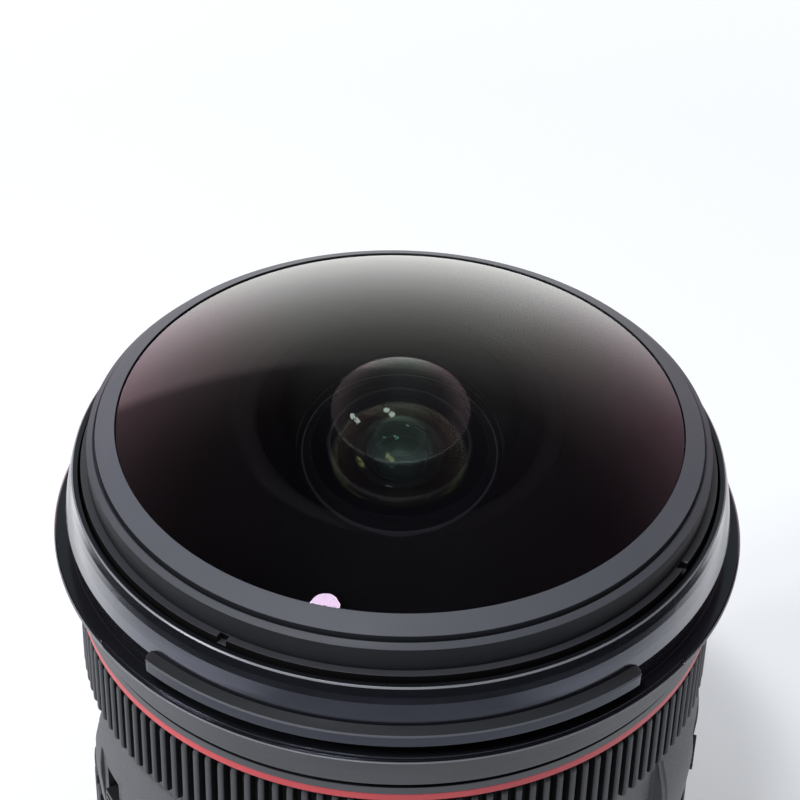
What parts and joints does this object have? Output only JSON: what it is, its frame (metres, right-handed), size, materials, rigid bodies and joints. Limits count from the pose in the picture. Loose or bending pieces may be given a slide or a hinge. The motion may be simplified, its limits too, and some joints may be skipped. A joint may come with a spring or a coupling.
{
  "type": "fisheye zoom lens",
  "caption": "Interchangeable fisheye zoom lens with a domed front element, hood bayonet collar, ribbed focus and zoom rings, side switches and a metal camera bayonet.",
  "frame": {"origin": "centre of the bayonet mounting face, on the optical axis", "axes": "+Z along the optical axis towards the front glass; -Y is the side with the distance window and index dot"},
  "size_m": [0.0786, 0.0786, 0.0886],
  "materials": {
    "chrome": "polished",
    "steel": "brushed",
    "alloy": "satin",
    "black_alloy": "satin black",
    "gloss_black": "gloss black",
    "barrel_black": "fine satin black",
    "dark_plastic": "matte",
    "rubber": "matte",
    "red": "satin",
    "gold": "polished",
    "board": "matte",
    "white_scale": "matte",
    "optic": "coated",
    "window": "clear"
  },
  "bodies": {
    "barrel": {"bayonet_mount": "chrome", "mount_screws": "steel", "mount_seal": "rubber", "rear_barrel": "barrel_black", "index_dot": "red", "contact_block": "dark_plastic", "contact_pins": "gold", "rear_baffle": "dark_plastic", "circuit_board": "board", "main_barrel": "black_alloy", "outer_barrel": "barrel_black", "distance_window": "window", "af_switch_plate": "barrel_black", "limit_switch_plate": "barrel_black", "accent_ring": "red", "name_ring": "barrel_black", "hood_collar": "gloss_black", "front_sleeve": "black_alloy", "guide_tube": "alloy", "motor_stator": "gold"},
    "focus_ring": {"focus_ring": "black_alloy", "focus_grip": "rubber", "focus_keys": "steel", "manual_ring": "steel"},
    "focus_drive": {"focus_cam_sleeve": "alloy", "focus_rollers": "steel", "distance_scale": "white_scale"},
    "motor_rotor": {"motor_rotor": "alloy"},
    "front_group": {"front_cell": "black_alloy", "front_retaining_ring": "barrel_black", "second_retainer": "black_alloy", "front_element": "optic", "second_element": "optic", "front_doublet": "optic"},
    "zoom_ring": {"zoom_ring": "black_alloy", "zoom_grip": "rubber", "zoom_keys": "steel", "cam_barrel": "alloy"},
    "mid_group": {"mid_cell": "black_alloy", "mid_element": "optic", "mid_doublet": "optic"},
    "rear_group": {"rear_cell": "black_alloy", "rear_retainer": "black_alloy", "rear_element": "optic", "rear_doublet": "optic", "last_element": "optic", "iris_base": "black_alloy", "iris_cover": "black_alloy", "iris_motor": "steel"},
    "iris_ring": {"iris_ring": "alloy"},
    "af_switch": {"af_switch_knob": "dark_plastic"},
    "limit_switch": {"limit_switch_knob": "dark_plastic"},
    "iris_blade_1": {"iris_blade_1": "black_alloy"},
    "iris_blade_2": {"iris_blade_2": "black_alloy"},
    "iris_blade_3": {"iris_blade_3": "black_alloy"},
    "iris_blade_4": {"iris_blade_4": "black_alloy"},
    "iris_blade_5": {"iris_blade_5": "black_alloy"},
    "iris_blade_6": {"iris_blade_6": "black_alloy"},
    "iris_blade_7": {"iris_blade_7": "black_alloy"}
  },
  "joints": [
    {"name": "focus_turn", "type": "hinge", "parent": "barrel", "child": "focus_ring", "pos_m": [0, 0, 0.0466], "axis": [0, 0, 1], "range_deg": [0, 90]},
    {"name": "focus_drive_turn", "type": "hinge", "parent": "barrel", "child": "focus_drive", "pos_m": [0, 0, 0.041], "axis": [0, 0, 1], "range_deg": [0, 45]},
    {"name": "front_group_slide", "type": "slide", "parent": "barrel", "child": "front_group", "axis": [0, 0, 1], "range_m": [0, 0.002]},
    {"name": "motor_spin", "type": "hinge", "parent": "barrel", "child": "motor_rotor", "pos_m": [0, 0, 0.0463], "axis": [0, 0, 1], "continuous": true},
    {"name": "zoom_turn", "type": "hinge", "parent": "barrel", "child": "zoom_ring", "pos_m": [0, 0, 0.0165], "axis": [0, 0, 1], "range_deg": [0, 60]},
    {"name": "mid_group_slide", "type": "slide", "parent": "barrel", "child": "mid_group", "axis": [0, 0, 1], "range_m": [-0.003, 0]},
    {"name": "rear_group_slide", "type": "slide", "parent": "barrel", "child": "rear_group", "axis": [0, 0, 1], "range_m": [0, 0.004]},
    {"name": "iris_turn", "type": "hinge", "parent": "rear_group", "child": "iris_ring", "pos_m": [0, 0, 0.0209], "axis": [0, 0, 1], "range_deg": [0, 2.59]},
    {"name": "af_switch_slide", "type": "slide", "parent": "barrel", "child": "af_switch", "axis": [0, 0, 1], "range_m": [0, 0.003]},
    {"name": "limit_switch_slide", "type": "slide", "parent": "barrel", "child": "limit_switch", "axis": [0, 0, 1], "range_m": [0, 0.003]},
    {"name": "iris_blade_1_swing", "type": "hinge", "parent": "rear_group", "child": "iris_blade_1", "pos_m": [0.0142, 0, 0.0209], "axis": [0, 0, 1], "range_deg": [0, 28]},
    {"name": "iris_blade_2_swing", "type": "hinge", "parent": "rear_group", "child": "iris_blade_2", "pos_m": [0.00885, 0.0111, 0.0209], "axis": [0, 0, 1], "range_deg": [0, 28]},
    {"name": "iris_blade_3_swing", "type": "hinge", "parent": "rear_group", "child": "iris_blade_3", "pos_m": [-0.00316, 0.01384, 0.0209], "axis": [0, 0, 1], "range_deg": [0, 28]},
    {"name": "iris_blade_4_swing", "type": "hinge", "parent": "rear_group", "child": "iris_blade_4", "pos_m": [-0.01279, 0.00616, 0.0209], "axis": [0, 0, 1], "range_deg": [0, 28]},
    {"name": "iris_blade_5_swing", "type": "hinge", "parent": "rear_group", "child": "iris_blade_5", "pos_m": [-0.01279, -0.00616, 0.0209], "axis": [0, 0, 1], "range_deg": [0, 28]},
    {"name": "iris_blade_6_swing", "type": "hinge", "parent": "rear_group", "child": "iris_blade_6", "pos_m": [-0.00316, -0.01384, 0.0209], "axis": [0, 0, 1], "range_deg": [0, 28]},
    {"name": "iris_blade_7_swing", "type": "hinge", "parent": "rear_group", "child": "iris_blade_7", "pos_m": [0.00885, -0.0111, 0.0209], "axis": [0, 0, 1], "range_deg": [0, 28]}
  ],
  "couplings": [
    {"joint": "focus_turn", "follows": "front_group_slide", "rad_per_m": 785.4},
    {"joint": "focus_drive_turn", "follows": "front_group_slide", "rad_per_m": 392.7},
    {"joint": "zoom_turn", "follows": "rear_group_slide", "rad_per_m": 261.8},
    {"joint": "mid_group_slide", "follows": "rear_group_slide", "ratio": -0.75},
    {"joint": "iris_blade_1_swing", "follows": "iris_turn", "ratio": 10.78},
    {"joint": "iris_blade_2_swing", "follows": "iris_turn", "ratio": 10.78},
    {"joint": "iris_blade_3_swing", "follows": "iris_turn", "ratio": 10.78},
    {"joint": "iris_blade_4_swing", "follows": "iris_turn", "ratio": 10.78},
    {"joint": "iris_blade_5_swing", "follows": "iris_turn", "ratio": 10.78},
    {"joint": "iris_blade_6_swing", "follows": "iris_turn", "ratio": 10.78},
    {"joint": "iris_blade_7_swing", "follows": "iris_turn", "ratio": 10.78}
  ]
}
